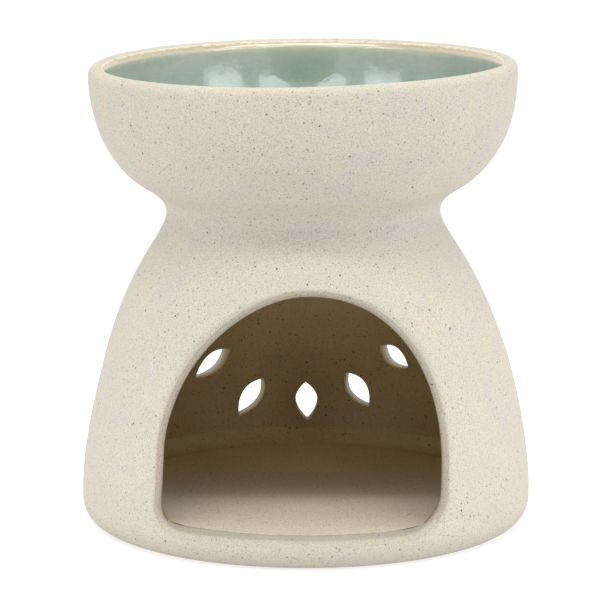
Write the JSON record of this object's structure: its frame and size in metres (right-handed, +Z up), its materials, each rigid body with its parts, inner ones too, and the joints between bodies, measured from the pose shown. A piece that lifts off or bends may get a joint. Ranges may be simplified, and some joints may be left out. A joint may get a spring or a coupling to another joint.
{
  "type": "essential oil burner",
  "caption": "Stoneware essential oil burner: an open glazed bowl on a hollow domed chamber, with an arched mouth for a tealight in front and petal-shaped vents in the back wall.",
  "frame": {"origin": "centre of the foot, on the surface that the burner stands on", "axes": "+Z up, -Y towards the arched mouth, +Y towards the petal vents"},
  "size_m": [0.11, 0.11, 0.1138],
  "materials": {
    "speckled_stoneware": "bare, matt, fine sandy grain with dark specks",
    "joining_slip": "bare, matt",
    "celadon_glaze": "glossy grey-green glaze",
    "iron_lip_glaze": "thin glossy glaze, broken brown"
  },
  "bodies": {
    "root": {"chamber_wall": "speckled_stoneware", "chamber_floor": "speckled_stoneware", "floor_coil": "speckled_stoneware", "neck_slip": "joining_slip", "oil_bowl": "speckled_stoneware", "bowl_glaze": "celadon_glaze", "rim_glaze_band": "iron_lip_glaze"}
  },
  "joints": []
}
